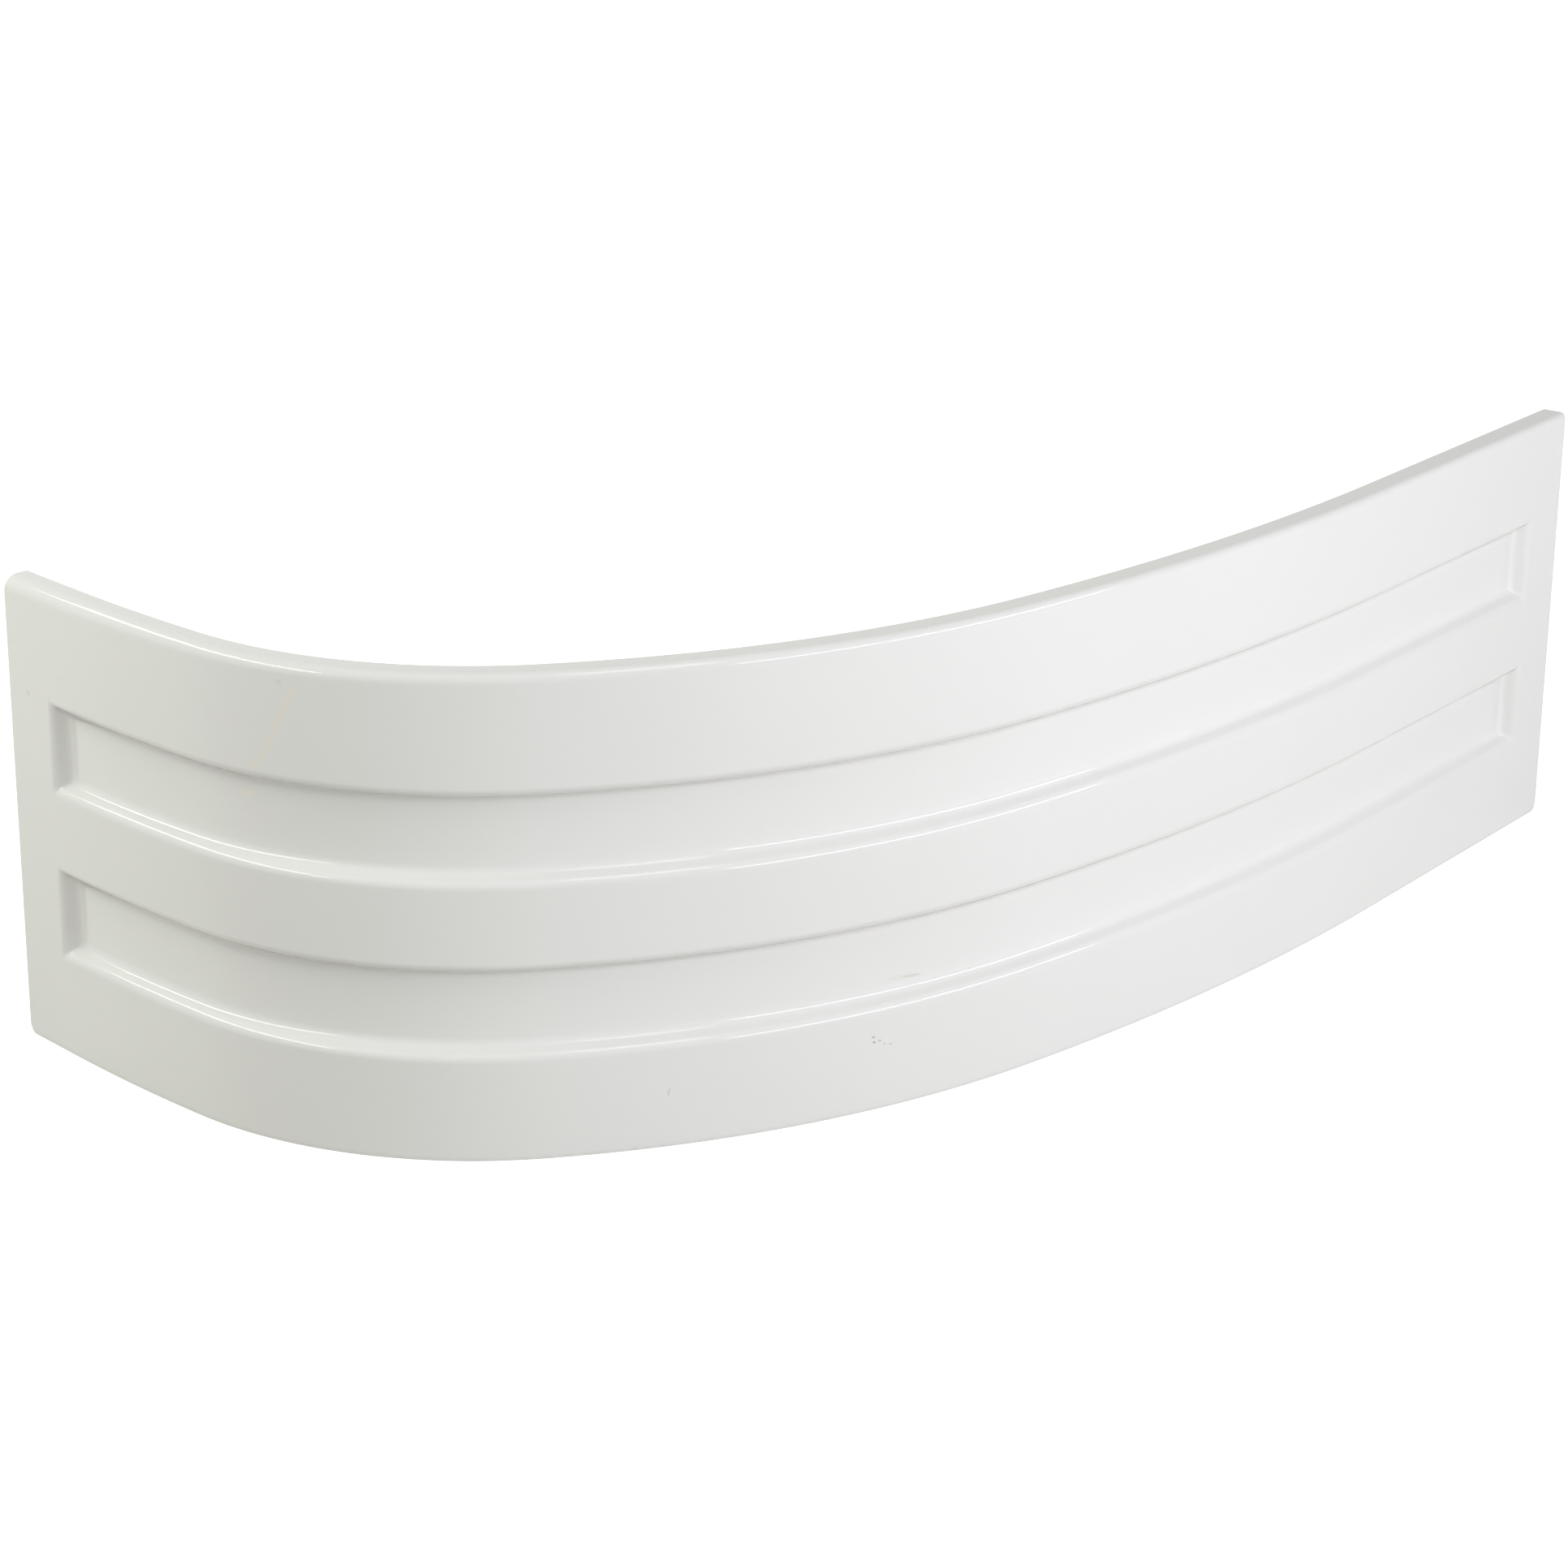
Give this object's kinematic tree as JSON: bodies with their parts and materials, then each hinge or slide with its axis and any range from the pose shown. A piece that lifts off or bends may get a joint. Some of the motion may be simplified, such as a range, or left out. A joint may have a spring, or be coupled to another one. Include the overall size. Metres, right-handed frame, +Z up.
{
  "type": "bath panel",
  "caption": "Curved front panel for an offset corner bath, formed from one white acrylic sheet with a rolled top lip and long recessed bands along the face.",
  "frame": {"origin": "on the floor, under the middle of the panel's bounding box", "axes": "+Z up, +X from the short, tightly curved end to the long, straight end, with both ends level in Y; the face bulges towards -Y and the bath stands on the +Y side"},
  "size_m": [2.0034, 0.5828, 0.54],
  "materials": {
    "acrylic": "high gloss white, vacuum formed"
  },
  "bodies": {
    "root": {"bath_panel": "acrylic"}
  },
  "joints": []
}
